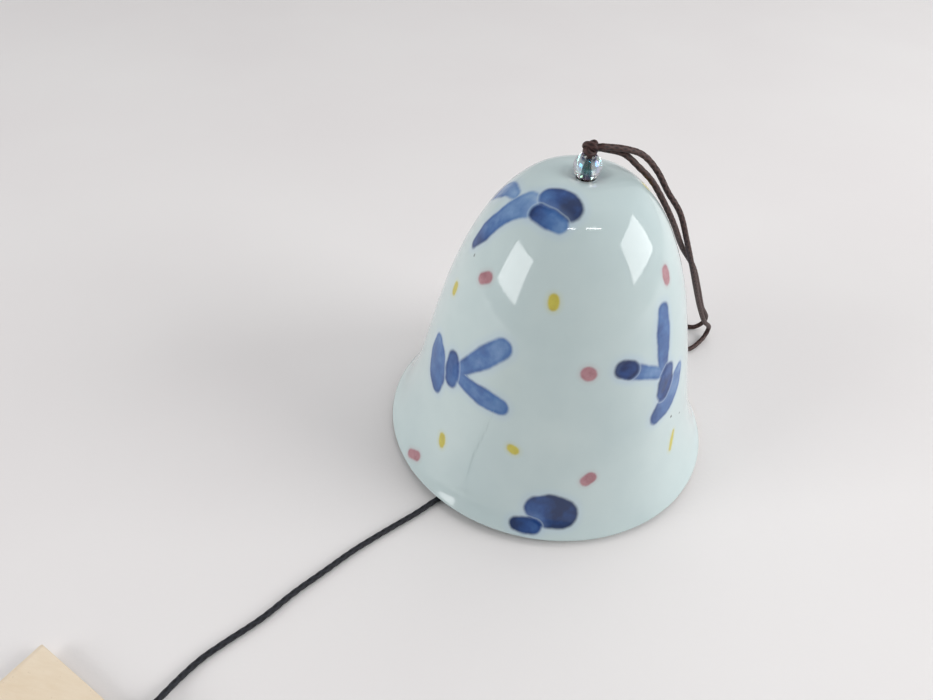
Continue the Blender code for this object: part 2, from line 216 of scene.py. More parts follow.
# Each dab: layer, spine of (azimuth in degrees, height in mm), widths in mm, tones along it.
# The leaf layer lies lowest, then the bud, then the tip, with a pale line left round each.
BRUSH_DABS = (
    ("leaf", ((221, 74.6), (213, 72.6), (205, 67.2), (200.5, 61.6)),
     (3.4, 2.9, 2.6, 2.8, 1.6), (0.3, 0.36, 0.55, 0.8)),
    ("leaf", ((200, 74.0), (186, 73.0), (174, 69.0)), (1.5, 2.5, 2.0), (0.3, 0.36, 0.45)),
    ("bud", ((235, 77.0), (260, 76.4)), (2.7, 3.7, 4.0, 3.1), (0.7, 0.85, 1.0)),
    ("tip", ((235, 74.3), (256, 73.8)), (2.2, 2.4, 2.0), (0.95, 0.5, 0.3)),
    ("leaf", ((226.5, 34.2), (236, 40.6), (246, 46.8)), (1.6, 2.4, 3.0, 2.7), (0.66, 0.5, 0.4)),
    ("leaf", ((227, 33.4), (240, 32.8), (251, 32.4)), (1.7, 2.3, 2.8, 2.4), (0.66, 0.5, 0.44)),
    ("bud", ((208, 35.0), (212.5, 30.0), (216.5, 25.6)), (2.4, 4.5, 4.6, 2.6), (0.42, 0.6, 0.72)),
    ("tip", ((222.5, 36.2), (224.5, 31.0)), (2.3, 2.9, 2.5), (0.78, 0.62)),
    ("leaf", ((325.4, 55.6), (324.0, 48.0), (323.4, 40.8)),
     (2.0, 2.7, 2.4, 1.8), (0.6, 0.56, 0.66)),
    ("leaf", ((321, 40.6), (303, 44.8)), (1.7, 2.0, 2.4), (0.5, 0.36, 0.8)),
    ("bud", ((337.0, 37.0), (328.5, 32.0), (319.8, 28.6)), (1.8, 3.7, 3.8, 2.4), (0.4, 0.56, 0.72)),
    ("tip", ((327.4, 39.6), (323.5, 34.6)), (2.2, 3.2, 2.5), (0.72, 0.8)),
    ("tip", ((300.8, 45.4), (304.2, 44.8)), (2.5, 2.5), (0.95, 0.85)),
    ("bud", ((273.0, 7.8), (281.0, 7.0)), (3.7, 4.9, 4.4), (0.72, 1.0)),
    ("tip", ((266.3, 3.2), (272.2, 3.2)), (1.9, 2.5, 2.1), (0.95, 0.75)),
    ("bud", ((20, 33.6), (30, 30.0)), (2.4, 4.0, 3.6), (0.85, 0.6)),
    ("tip", ((33.5, 36.0), (37.5, 32.4)), (2.0, 2.6, 2.1), (0.8, 0.7)),
    ("leaf", ((34, 38.0), (28, 46.0), (21, 52.4)), (1.5, 2.5, 2.8, 2.0), (0.6, 0.42)),
    ("leaf", ((38, 36.6), (46, 42.0), (52, 49.4)), (1.5, 2.4, 2.8, 2.0), (0.6, 0.42)),
    ("bud", ((96, 10.4), (104, 10.0)), (3.6, 4.6, 4.2), (0.95, 0.65)),
    ("tip", ((108.5, 5.8), (113.0, 6.6)), (1.9, 2.5, 2.1), (0.9, 0.7)),
    ("bud", ((128, 52.0), (140, 48.2)), (2.8, 4.2, 3.2), (0.6, 0.95)),
    ("leaf", ((126, 54.0), (112, 58.6), (102, 65.0)), (1.6, 2.6, 2.9, 2.0), (0.6, 0.4)),
    ("leaf", ((127, 50.0), (112, 48.8), (99, 45.4)), (1.6, 2.5, 2.8, 2.0), (0.62, 0.4)),
    ("tip", ((122.5, 53.0), (125.0, 49.0)), (2.0, 2.5, 2.0), (0.8, 0.7)),
    ("bud", ((166, 22.6), (170, 17.2)), (2.6, 4.2, 3.0), (0.65, 0.95)),
    ("tip", ((173.8, 27.2), (176.6, 24.4)), (1.9, 2.4, 1.9), (0.8, 0.66)),
    ("leaf", ((171, 28.6), (164, 36.0), (156, 41.8)), (1.5, 2.5, 2.8, 1.9), (0.58, 0.4)),
    ("bud", ((44, 70.6), (58, 69.4)), (2.6, 3.6, 3.2), (0.8, 0.6)),
    ("leaf", ((60, 67.6), (68, 60.4), (72, 53.0)), (1.6, 2.5, 2.8, 1.9), (0.45, 0.75)),
    ("pink", ((221.9, 58.0), (225.3, 59.2)), (1.45, 1.5), (0.8,)),
    ("pink", ((332.6, 63.2), (332.6, 61.2)), (1.4, 1.6, 1.4), (0.9,)),
    ("pink", ((284.6, 45.4), (285.4, 45.1)), (1.8, 1.85), (1.0,)),
    ("pink", ((218.4, 2.9), (221.6, 4.0)), (1.4, 1.5), (0.8,)),
    ("pink", ((289.0, 15.8), (290.6, 16.6)), (1.65, 1.7), (0.9,)),
    ("pink", ((75, 26), (77, 27)), (1.8, 1.8), (0.9,)),
    ("pink", ((150, 64), (151, 63)), (1.7, 1.7), (0.9,)),
    ("pink", ((8, 12), (9, 13)), (1.8, 1.8), (0.9,)),
    ("pink", ((140, 24), (141, 25)), (1.7, 1.8), (0.9,)),
    ("pink", ((164, 52), (165, 53)), (1.6, 1.7), (0.9,)),
    ("yellow", ((204.3, 50.6), (204.9, 49.2)), (1.2, 1.3, 1.2), (0.9,)),
    ("yellow", ((264.2, 60.9), (264.6, 59.6)), (1.3, 1.45, 1.3), (1.0,)),
    ("yellow", ((229.3, 14.6), (230.2, 12.4)), (1.2, 1.35, 0.9), (0.9,)),
    ("yellow", ((259.4, 22.4), (260.4, 22.2)), (1.35, 1.4), (1.0,)),
    ("yellow", ((332.8, 18.8), (331.4, 16.8), (329.8, 14.4)), (0.7, 0.95, 0.7), (0.9,)),
    ("yellow", ((18.0, 75.2), (22.4, 74.2)), (1.3, 1.4, 1.2), (0.9,)),
    ("yellow", ((62, 40), (64, 39)), (1.3, 1.5, 1.3), (1.0,)),
    ("yellow", ((90, 62), (91, 60)), (1.3, 1.5, 1.2), (1.0,)),
    ("yellow", ((124, 33), (126, 32)), (1.4, 1.5, 1.3), (1.0,)),
    ("yellow", ((150, 8), (152, 9)), (1.3, 1.5, 1.3), (1.0,)),
    ("yellow", ((166, 65), (167, 64)), (1.3, 1.5, 1.2), (1.0,)),
    ("yellow", ((8, 58), (9, 57)), (1.3, 1.5, 1.3), (1.0,)),
    ("hairline", ((249.6, 32.0), (247.6, 24.0), (245.0, 15.0), (245.4, 8.0)),
     (0.05, 0.2, 0.2, 0.05), (1.0,)),
    ("speck", ((330.4, 24.6), (330.6, 24.5)), (0.3,), (1.0,)),
    ("speck", ((338.6, 22.0), (338.8, 21.9)), (0.2,), (1.0,)),
    ("speck", ((207.0, 60.0), (207.1, 59.9)), (0.2,), (1.0,)),
    ("speck", ((72.0, 14.4), (72.2, 14.3)), (0.28,), (1.0,)),
    ("speck", ((152.0, 36.0), (152.2, 35.9)), (0.24,), (1.0,)),
)
painted = shell_points[:len(outside) + len(lip)].reshape(-1, 3)
depths = {layer: np.full(len(shell_outline) * SHELL_TURNS, FAR_OUTSIDE) for layer in
          ("leaf", "bud", "tip", "pink", "yellow", "hairline", "speck")}
tones = {layer: np.zeros(len(shell_outline) * SHELL_TURNS) for layer in depths}
for layer, spine, widths, shades in BRUSH_DABS:
    heart = on_shell(*zip(*spine)).mean(axis=0)
    near = np.flatnonzero(np.linalg.norm(painted - heart, axis=1) < DAB_REACH)
    depth, tone = brush_dab(painted[near], spine, widths, shades)
    deeper = depth > depths[layer][near]
    depths[layer][near[deeper]] = depth[deeper]
    tones[layer][near[deeper]] = tone[deeper]
for layer, depth in depths.items():
    for word, values in (("depth", depth), ("tone", tones[layer])):
        held = porcelain_shell.data.attributes.new(f"{layer}_{word}", "FLOAT", "POINT")
        held.data.foreach_set("value", values.astype(np.float32))


def finish(name, sockets):
    """A Principled material with these socket values, and its node tree."""
    made = bpy.data.materials.new(name)
    made.use_nodes = True
    for socket, value in sockets.items():
        made.node_tree.nodes["Principled BSDF"].inputs[socket].default_value = value
    return made, made.node_tree


def add(tree, kind, sockets, **settings):
    """A shader node: sockets are links or values by name or number."""
    node = tree.nodes.new("ShaderNode" + kind)
    for key, value in settings.items():
        setattr(node, key, value)
    for key, value in sockets.items():
        if isinstance(value, bpy.types.NodeSocket):
            tree.links.new(value, node.inputs[key])
        else:
            node.inputs[key].default_value = value
    return node


def sums(tree, operation, *terms):
    """A Math node over its terms."""
    return add(tree, "Math", dict(enumerate(terms)), operation=operation).outputs[0]


def eased(tree, value, low, high, start=0.0, end=1.0):
    """A smooth step from start to end as the value goes from low to high."""
    return add(tree, "MapRange", {"Value": value, "From Min": low, "From Max": high,
                                  "To Min": start, "To Max": end},
               interpolation_type="SMOOTHSTEP").outputs[0]


def blended(tree, share, one, two):
    """One colour going over into another."""
    return add(tree, "Mix", {0: share, 6: one, 7: two}, data_type="RGBA").outputs[2]


def ramp(tree, value, stops):
    """Colours by position along a scale from 0 to 1."""
    node = add(tree, "ValToRGB", {0: value})
    scale = node.color_ramp.elements
    for place, (at, color) in enumerate(stops):
        stop = scale[place] if place < 2 else scale.new(at)
        stop.position = at
        stop.color = (*color, 1.0)
    return node.outputs[0]


def noise(tree, where, scale, detail=3.0, roughness=0.5):
    """Cloudy values between 0 and 1, with about scale features to the metre."""
    return add(tree, "TexNoise", {"Vector": where, "Scale": scale, "Detail": detail,
                                  "Roughness": roughness}).outputs["Fac"]


def to_shader(tree, socket, value):
    """Joins a value to the Principled shader."""
    tree.links.new(value, tree.nodes["Principled BSDF"].inputs[socket])


def bumped(tree, height, distance, strength=1.0):
    """The surface's small relief, from a height between 0 and 1 times a distance in metres."""
    bump = add(tree, "Bump", {"Height": height, "Distance": distance, "Strength": strength})
    to_shader(tree, "Normal", bump.outputs[0])


COBALT = ((0.0, (0.36, 0.48, 0.62)), (1.0, (0.004, 0.018, 0.09)), (0.28, (0.16, 0.29, 0.52)),
          (0.55, (0.05, 0.14, 0.37)), (0.8, (0.012, 0.055, 0.22)))
BLUE_BLEED = (0.36, 0.48, 0.74, 1.0)
BARE_CLAY = (0.62, 0.55, 0.47, 1.0)
CLAY_TOP, CLAY_FULL = 0.0014, 0.0010
glaze, tree = finish("painted_glaze", {"Coat Weight": 0.1, "Coat Roughness": 0.02, "IOR": 1.5,
                                       "Coat IOR": 1.5, "Specular IOR Level": 0.36})
where = add(tree, "TexCoord", {}).outputs["Object"]
mottle = noise(tree, where, 420.0, detail=4.0, roughness=0.6)
cloud = noise(tree, where, 55.0)
wobble = sums(tree, "MULTIPLY_ADD", noise(tree, where, 420.0, detail=2.0), 0.5, -0.25)
wash = sums(tree, "MULTIPLY_ADD", noise(tree, where, 190.0, detail=2.0), 0.7, -0.35)


def held_value(layer, word):
    """A layer's depth or tone, as it is kept on the shell's points."""
    return add(tree, "Attribute", {}, attribute_name=f"{layer}_{word}").outputs["Fac"]


glaze_tint = ramp(tree, cloud, ((0.3, (0.535, 0.64, 0.645)), (0.75, (0.595, 0.695, 0.69))))
color = glaze_tint
for layer in ("leaf", "bud", "tip"):
    depth = sums(tree, "ADD", held_value(layer, "depth"), wobble)
    pooled = eased(tree, depth, 0.3, 1.4, 0.1, 0.0)
    drift = sums(tree, "MULTIPLY_ADD", mottle, 0.3, wash)
    density = sums(tree, "ADD", sums(tree, "ADD", held_value(layer, "tone"), pooled),
                   sums(tree, "ADD", drift, -0.15))
    inked = ramp(tree, density, COBALT)
    if layer != "leaf":
        spared = sums(tree, "MULTIPLY", eased(tree, depth, -0.7, -0.35),
                      eased(tree, depth, 0.1, -0.3))
        color = blended(tree, sums(tree, "MULTIPLY", spared, 0.3), color, glaze_tint)
    bleed = sums(tree, "MULTIPLY", eased(tree, depth, -2.4, 0.1), 0.16)
    color = blended(tree, bleed, color, BLUE_BLEED)
    cover = sums(tree, "MULTIPLY", eased(tree, depth, -0.45, 0.6), 0.95)
    color = blended(tree, cover, color, inked)
for layer, pale, strong in (("pink", (0.46, 0.19, 0.22, 1.0), (0.30, 0.07, 0.10, 1.0)),
                            ("yellow", (0.64, 0.55, 0.02, 1.0), (0.48, 0.37, 0.003, 1.0))):
    depth = sums(tree, "ADD", held_value(layer, "depth"), sums(tree, "MULTIPLY", wobble, 0.8))
    patchy = eased(tree, sums(tree, "MULTIPLY_ADD", mottle, 0.9, -0.1), 0.1, 0.7)
    dot = blended(tree, patchy, pale, strong)
    color = blended(tree, sums(tree, "MULTIPLY", eased(tree, depth, -1.4, 0.0), 0.12), color, pale)
    color = blended(tree, sums(tree, "MULTIPLY", eased(tree, depth, -0.3, 0.45), 0.85), color, dot)
for layer, shade, share in (("hairline", (0.42, 0.52, 0.52, 1.0), 0.5),
                            ("speck", (0.06, 0.05, 0.05, 1.0), 0.9)):
    mark = eased(tree, held_value(layer, "depth"), -0.35, 0.1)
    color = blended(tree, sums(tree, "MULTIPLY", mark, share), color, shade)
height = add(tree, "SeparateXYZ", {0: where}).outputs["Z"]
ragged = sums(tree, "MULTIPLY_ADD", noise(tree, where, 300.0), 0.0007, height)
bare = eased(tree, ragged, CLAY_TOP, CLAY_FULL)
color = blended(tree, bare, color, BARE_CLAY)
to_shader(tree, "Base Color", color)
glossy = ramp(tree, noise(tree, where, 160.0), ((0.35, (0.05,) * 3), (0.8, (0.1,) * 3)))
to_shader(tree, "Roughness", blended(tree, bare, glossy, (0.7, 0.7, 0.7, 1.0)))
bumped(tree, sums(tree, "ADD", cloud, sums(tree, "MULTIPLY", mottle, 0.01)),
       distance=0.0002, strength=0.3)
porcelain_shell.data.materials.append(glaze)
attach(porcelain_shell, "bell")
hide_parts("bell_shell")


# ---------------------------------------------------------------------------------------------
# Washer under the crown hole.  A small moulded plastic ring that spreads the pull of the inner
# knot over the porcelain, with rounded edges and a frosted face.
WASHER_RADIUS = 4.5 * MM
WASHER_THICKNESS = 1.0 * MM
WASHER_EDGE = 0.3 * MM
STEM_RADIUS = 1.25 * MM
INTO_KNOT = 0.9 * MM


def in_bell(node):
    """The middle of a CAD node, in the upright bell's own measure."""
    low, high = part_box(node)
    return bell_place.inverted() @ ((low + high) / 2)


bore = STEM_RADIUS + CLEARANCE
middle = in_bell("inner_washer").z
half = WASHER_THICKNESS / 2
ring = np.vstack([
    arc((bore + WASHER_EDGE, middle + half - WASHER_EDGE), WASHER_EDGE, 180, 90, 6),
    arc((WASHER_RADIUS - WASHER_EDGE, middle + half - WASHER_EDGE), WASHER_EDGE, 90, 0, 6),
    arc((WASHER_RADIUS - WASHER_EDGE, middle - half + WASHER_EDGE), WASHER_EDGE, 0, -90, 6),
    arc((bore + WASHER_EDGE, middle - half + WASHER_EDGE), WASHER_EDGE, -90, -180, 6),
])
washer = woven_surface("crown_washer", moved(turned_points(ring, 72), bell_place), run_shut=True)
frosted, tree = finish("frosted_plastic", {"IOR": 1.46})
where = add(tree, "TexCoord", {}).outputs["Object"]
grain = noise(tree, where, 2500.0, detail=4.0)
to_shader(tree, "Base Color", ramp(tree, noise(tree, where, 300.0), (
    (0.3, (0.60, 0.60, 0.56)), (0.8, (0.70, 0.70, 0.66)))))
to_shader(tree, "Roughness", ramp(tree, grain, ((0.3, (0.35,) * 3), (0.8, (0.55,) * 3))))
bumped(tree, grain, distance=0.00004)
washer.data.materials.append(frosted)
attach(washer, "bell")
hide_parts("inner_washer")


# ---------------------------------------------------------------------------------------------
# Inner knot and stem.  The waxed brown cord goes up through the crown doubled, its two strands
# laid round each other, with a tight stopper knot under the washer.
BRAID_PITCH = 2.4 * MM
STRANDS_EACH_WAY = 4.0
STRAND_RADIUS = 0.62 * MM
STRAND_OFFSET = 0.61 * MM


def ring_frames(path, shut=False):
    """For each point of a path its unit tangent and two unit normals: the first normal is carried
    from ring to ring with its part along the new tangent taken away, so the tube never twists."""
    ahead = np.roll(path, -1, 0) - np.roll(path, 1, 0)
    if not shut:
        ahead[0], ahead[-1] = path[1] - path[0], path[-1] - path[-2]
    tangent = ahead / np.linalg.norm(ahead, axis=1, keepdims=True)
    normal = np.zeros_like(tangent)
    carried = np.cross(tangent[0], (0.31, 0.52, 0.79))
    for ring, along in enumerate(tangent):
        carried = carried - along * (carried @ along)
        carried /= np.linalg.norm(carried)
        normal[ring] = carried
    return tangent, normal, np.cross(tangent, normal)


def braided_tube(path, cord_radius, columns=18, relief=0.05, shut=False):
    """Points of a braided cord: a circle carried along the path, its radius swelling by the
    relief where two opposite spirals of strands, four each way and a pitch long, pass on top."""
    tangent, normal, side = ring_frames(path, shut)
    if shut:
        outward = path - path.mean(axis=0)
        normal = outward - tangent * (outward * tangent).sum(axis=1, keepdims=True)
        normal /= np.linalg.norm(normal, axis=1, keepdims=True)
        side = np.cross(tangent, normal)
    run = np.concatenate([[0], np.cumsum(np.linalg.norm(np.diff(path, axis=0), axis=1))])[:, None]
    angle = np.linspace(0, 2 * np.pi, columns, endpoint=False)[None, :]
    lay = 2 * np.pi * run / BRAID_PITCH
    turned = STRANDS_EACH_WAY * angle
    over = np.maximum(np.cos(turned + lay), np.cos(turned - lay))
    r = (cord_radius * (1 - relief + relief * over))[..., None]
    return path[:, None] + r * (np.cos(angle)[..., None] * normal[:, None]
                                - np.sin(angle)[..., None] * side[:, None])


def knot_path(middle, size, axis, steps=150):
    """An overhand knot drawn tight, as a trefoil: twice round the axis while it goes three times
    in and out, ((a + b cos 3t) cos 2t, (a + b cos 3t) sin 2t, c sin 3t)."""
    t = np.linspace(0, 2 * np.pi, steps, endpoint=False)
    reach = size / 2 - CORD_RADIUS
    across = reach * (0.62 + 0.38 * np.cos(3 * t))
    path = np.column_stack([across * np.cos(2 * t), across * np.sin(2 * t),
                            0.95 * reach * np.sin(3 * t)])
    turn = Vector(axis).to_track_quat("Z", "Y").to_matrix().to_4x4()
    return moved(path, Matrix.Translation(middle) @ turn)


def cord_finish(name, gap_shade_color, mid, light, roughness, sheen):
    """Waxed braid, read from the cord's own UV map: strands in two opposite spirals, painted shade
    darkening the gaps between them, fine fibres along each strand and a few paler fuzzy places."""
    made, tree = finish(name, {"Sheen Weight": sheen, "Sheen Roughness": 0.4, "IOR": 1.45})
    place = add(tree, "SeparateXYZ", {0: add(tree, "TexCoord", {}).outputs["UV"]})
    ring, run = place.outputs[0], sums(tree, "DIVIDE", place.outputs[1], BRAID_PITCH)
    spirals = [sums(tree, "SINE", sums(tree, "MULTIPLY", sums(
        tree, "ADD", sums(tree, "MULTIPLY", ring, STRANDS_EACH_WAY),
        sums(tree, "MULTIPLY", run, way)), 2 * math.pi)) for way in (1.0, -1.0)]
    over = sums(tree, "MULTIPLY_ADD", sums(tree, "MAXIMUM", *spirals), 0.5, 0.5)
    where = add(tree, "TexCoord", {}).outputs["Object"]
    fibre = noise(tree, where, 5200.0, detail=3.0, roughness=0.7)
    worn = noise(tree, where, 160.0)
    # Painted shade: the colour darkens from the strand tops down into the gaps between the strands.
    shade = sums(tree, "ADD", sums(tree, "MULTIPLY", over, 0.55),
                 sums(tree, "MULTIPLY", fibre, 0.45))
    braid = ramp(tree, shade, ((0.25, gap_shade_color), (1.0, light), (0.62, mid)))
    fuzzy = eased(tree, worn, 0.55, 0.85, 0.0, 0.35)
    to_shader(tree, "Base Color", blended(tree, fuzzy, braid, (*light, 1.0)))
    to_shader(tree, "Roughness", sums(tree, "MULTIPLY_ADD", fibre, 0.25, roughness))
    bumped(tree, shade, distance=0.00012, strength=0.8)
    return made


# The first colour of each braid is the painted shade in the gaps between its strands.
brown_braid = cord_finish("waxed_brown_braid", (0.012, 0.005, 0.004), (0.05, 0.021, 0.018),
                          (0.1, 0.048, 0.041), 0.42, 0.02)


def tied_knot(name, node, body, axis, braid):
    """A drawn knot in place of a CAD node, as big as the node and round its middle."""
    low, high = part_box(node)
    size = min(high - low)
    path = knot_path((low + high) / 2, size, axis)
    piece = woven_surface(name, braided_tube(path, CORD_RADIUS, shut=True), run_shut=True)
    piece.data.materials.append(braid)
    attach(piece, body)
    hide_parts(node)
    return piece


bell_axis = bell_place.to_3x3() @ Vector((0, 0, 1))
tied_knot("stopper_knot", "inner_knot", "bell", bell_axis, brown_braid)

low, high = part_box("hanger_stem")
half_stem = (high.z - low.z) / 2 - STEM_RADIUS * math.sin(lean)
rise = np.linspace(-half_stem - INTO_KNOT, half_stem + INTO_KNOT, 46)
strands = []
for phase in (0.0, math.pi):
    turn = phase + 0.5 * math.pi * rise / half_stem
    path = np.column_stack([STRAND_OFFSET * np.cos(turn), STRAND_OFFSET * np.sin(turn),
                            rise + in_bell("hanger_stem").z])
    strands.append(braided_tube(moved(path, bell_place), STRAND_RADIUS))
stem_left = woven_surface("doubled_stem_left", strands[0], capped=True)
stem_right = woven_surface("doubled_stem_right", strands[1], capped=True)
for strand in (stem_left, stem_right):
    strand.data.materials.append(brown_braid)
    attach(strand, "bell")
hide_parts("hanger_stem")


# ---------------------------------------------------------------------------------------------
# Crown bead.  A drilled ball of clear pressed glass with an iridescent coat, threaded on the
# doubled cord above the crown hole.  It turns freely on the cord.
BEAD_RADIUS = 3.25 * MM
BORE_EDGE = 0.25 * MM

middle = in_bell("crown_bead").z
steepest = math.degrees(math.acos((bore + BORE_EDGE) / BEAD_RADIUS))
bore_end = math.sqrt(BEAD_RADIUS ** 2 - (bore + BORE_EDGE) ** 2) - BORE_EDGE
ball = arc((0.0, middle), BEAD_RADIUS, steepest, -steepest, 60)
rims = [arc((bore + BORE_EDGE, middle + way * bore_end), BORE_EDGE, *turn, 5)
        for way, turn in ((-1, (250, 180)), (1, (180, 110)))]
bead_points = turned_points(np.vstack([ball, *rims]), 96)
bead = woven_surface("glass_bead", moved(bead_points, bell_place), run_shut=True)
glass, tree = finish("iridescent_glass", {
    "Base Color": (0.97, 0.96, 0.99, 1.0), "Transmission Weight": 1.0, "IOR": 1.5,
    "Thin Film Thickness": 320.0, "Thin Film IOR": 1.9})
where = add(tree, "TexCoord", {}).outputs["Object"]
to_shader(tree, "Roughness", ramp(tree, noise(tree, where, 700.0), (
    (0.4, (0.0,) * 3), (0.8, (0.05,) * 3))))
bumped(tree, noise(tree, where, 420.0, detail=2.0), distance=0.0001, strength=0.4)
bead.data.materials.append(glass)
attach(bead, "bead")
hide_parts("crown_bead")


# ---------------------------------------------------------------------------------------------
# Hanging loop and its knot.  The brown cord is knotted on top of the bead and runs on as a long
# loop to hang the bell by.  It falls over the shoulder and lies round on the table behind.
HANGER_ROUTE = (
    (3.4, 1.0, 86.6), (8.5, 4.0, 85.2), (12.9, 7.3, 82.6), (16.9, 9.8, 78.0),
    (20.9, 12.1, 71.5), (25.4, 14.7, 64.7), (29.4, 17.3, 55.2), (33.7, 21.8, 43.8),
    (36.5, 25.6, 35.9), (41.4, 33.6, 22.2), (46.2, 41.6, 10.4), (48.5, 45.5, 6.2),
    (49.4, 47.2, 3.9), (49.2, 46.9, 1.9), (47.9, 44.6, 0.8), (43.5, 38.6, 0.75),
    (38.0, 36.8, 0.75), (32.4, 38.2, 0.75), (27.6, 42.4, 0.75), (25.4, 48.2, 0.75),
    (28.2, 53.4, 0.75), (34.0, 54.6, 0.75), (39.4, 51.6, 0.75), (43.0, 50.0, 0.75),
    (45.6, 50.2, 0.95), (47.8, 50.9, 2.6), (48.2, 50.3, 5.4), (46.6, 47.3, 9.8),
    (44.4, 43.6, 14.6), (40.0, 35.8, 27.0), (34.8, 27.2, 40.8), (28.7, 18.9, 52.5),
    (24.0, 11.6, 63.5), (20.4, 9.2, 70.0), (16.2, 7.9, 76.1), (12.5, 7.0, 79.7),
    (8.6, 5.7, 83.1), (3.4, 2.75, 85.3),
)
RING_STEP = 0.4 * MM


def laid_path(route):
    """A cord's ring centres: its smooth route, with no part of it under the table."""
    path = smooth_line(np.asarray(route), RING_STEP)
    path[:, 2] = np.maximum(path[:, 2], CORD_RADIUS)
    return path


def run_in(path, knot_middle, ends=(0, -1)):
    """The path with each of these ends carried on most of the way to the middle of its knot."""
    first, last = ([path[end] + (np.array(knot_middle) - path[end]) * share for share in (0.6, 0.3)]
                   for end in (0, -1))
    return np.vstack((first if 0 in ends else []) + [path] + (last[::-1] if -1 in ends else []))


low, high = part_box("hanger_knot")
hanger_knot = tied_knot("crown_knot", "hanger_knot", "bell", (0.9, 0.3, 0.2), brown_braid)
loop_path = run_in(laid_path(np.array(HANGER_ROUTE) * MM), (low + high) / 2)
hanging_loop = woven_surface("hanging_loop", braided_tube(loop_path, CORD_RADIUS), capped=True)
hanging_loop.data.materials.append(brown_braid)
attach(hanging_loop, "bell")
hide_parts("hanger_loop")


# ---------------------------------------------------------------------------------------------
# Clapper on its cord.  A black braided cord is tied through the inner knot and carries a glazed
# porcelain egg, held up by a knot under it.  It hangs plumb inside the leaning bell.
CLAPPER_RADIUS = 10.0 * MM
CLAPPER_HALF_HEIGHT = 8.5 * MM
CLAPPER_FULLNESS = 0.8
INTO_NEIGHBOUR = 0.5 * MM

black_braid = cord_finish("black_braid", (0.002, 0.002, 0.004), (0.007, 0.008, 0.013),
                          (0.026, 0.028, 0.04), 0.5, 0.25)
tied_knot("clapper_hitch_knot", "clapper_cord_knot", "clapper_hitch", (1, 0, 0), black_braid)
low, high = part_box("clapper_cord")
plumb = Vector(((low.x + high.x) / 2, (low.y + high.y) / 2, 0.0))
rise = np.arange(low.z - INTO_NEIGHBOUR, high.z + INTO_NEIGHBOUR, RING_STEP)
path = np.column_stack([0 * rise + plumb.x, 0 * rise + plumb.y, rise])
clapper_line = woven_surface("clapper_line", braided_tube(path, CORD_RADIUS), capped=True)
clapper_line.data.materials.append(black_braid)
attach(clapper_line, "clapper")
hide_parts("clapper_cord")

low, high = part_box("clapper")
bore = CORD_RADIUS + CLEARANCE
middle = (low.z + high.z) / 2
steepest = math.acos((bore / CLAPPER_RADIUS) ** (1 / CLAPPER_FULLNESS))
angle = np.linspace(steepest, -steepest, 90)
# A rounded egg: radius R cos a and height H sin a, each share raised to its fullness.
egg = np.column_stack([
    CLAPPER_RADIUS * np.cos(angle) ** CLAPPER_FULLNESS,
    middle + CLAPPER_HALF_HEIGHT * np.sign(angle) * np.abs(np.sin(angle)) ** CLAPPER_FULLNESS])
egg_points = turned_points(egg, 110) + np.array(plumb)
clapper = woven_surface("porcelain_clapper", egg_points, run_shut=True)
plain_glaze, tree = finish("plain_glaze", {"Coat Weight": 0.3, "Coat Roughness": 0.03, "IOR": 1.5})
where = add(tree, "TexCoord", {}).outputs["Object"]
cloud = noise(tree, where, 90.0)
specks = eased(tree, noise(tree, where, 900.0, detail=1.0), 0.70, 0.76, 0.0, 0.5)
to_shader(tree, "Base Color", blended(tree, specks, ramp(tree, cloud, (
    (0.3, (0.70, 0.77, 0.76)), (0.75, (0.80, 0.83, 0.80)))), (0.35, 0.30, 0.26, 1.0)))
to_shader(tree, "Roughness", ramp(tree, cloud, ((0.3, (0.06,) * 3), (0.8, (0.14,) * 3))))
bumped(tree, cloud, distance=0.0003, strength=0.3)
clapper.data.materials.append(plain_glaze)
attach(clapper, "clapper")
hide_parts("clapper")
tied_knot("clapper_stop_knot", "clapper_knot", "clapper", (0, 0, 1), black_braid)


# ---------------------------------------------------------------------------------------------
# Wind cord and strip knot.  The same black cord runs on under the clapper, drops to the table,
# lies across the mouth, leaves under the lip and ends in the knot that holds the paper strip.
STRIP_KNOT = Vector((-71.1, -103.1, 2.1)) * MM
WIND_CORD_ROUTE = (
    (2.4, 1.4, 3.2), (5.6, 1.0, 1.1), (9.6, -1.6, 0.75), (11.4, -7.0, 0.75),
    (8.0, -12.6, 0.75), (1.0, -17.4, 0.75), (-8.0, -23.0, 0.75), (-16.4, -29.6, 0.75),
    (-23.7, -36.8, 0.75), (-28.8, -43.0, 0.75), (-35.1, -49.9, 0.75), (-41.1, -56.8, 0.75),
    (-46.4, -63.9, 0.75), (-51.6, -70.9, 0.75), (-56.3, -78.2, 0.75), (-62.5, -85.8, 0.75),
    (-65.6, -89.9, 0.75), (-68.0, -94.4, 0.85), (-69.5, -98.3, 1.4),
)
DROP_END = 9.0 * MM
TIED_END = 8.0 * MM
INTO_STOP_KNOT = 2.4 * MM
STRIP_KNOT_RADIUS = 2.1 * MM

cord_top = plumb + Vector((0.0, 0.0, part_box("wind_cord")[1].z))
straight = [cord_top - Vector((0.0, 0.0, drop * MM)) for drop in (0.0, 4.0, 8.0)]
laid = [Vector(point) * MM for point in WIND_CORD_ROUTE]
approach = (laid[-1] - STRIP_KNOT).normalized()
wind_path = laid_path(straight + laid[:-1] + [STRIP_KNOT + approach * STRIP_KNOT_RADIUS])
wind_path = run_in(wind_path, STRIP_KNOT, (-1,))
wind_path = run_in(wind_path, cord_top + Vector((0.0, 0.0, INTO_STOP_KNOT)), (0,))
split = int(np.argmax(wind_path[:, 2] < DROP_END))
tied = len(wind_path) - round(TIED_END / RING_STEP)
wind_rings = braided_tube(wind_path, CORD_RADIUS)
cord_drop = woven_surface("wind_cord_drop", wind_rings[:split + 1], capped=True)
wind_line = woven_surface("wind_cord_line", wind_rings[split:tied + 1], capped=True)
cord_end = woven_surface("wind_cord_end", wind_rings[tied:], capped=True)
for piece in (cord_drop, wind_line, cord_end):
    piece.data.materials.append(black_braid)
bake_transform(cord_drop)
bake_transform(wind_line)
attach(cord_end, "bell")
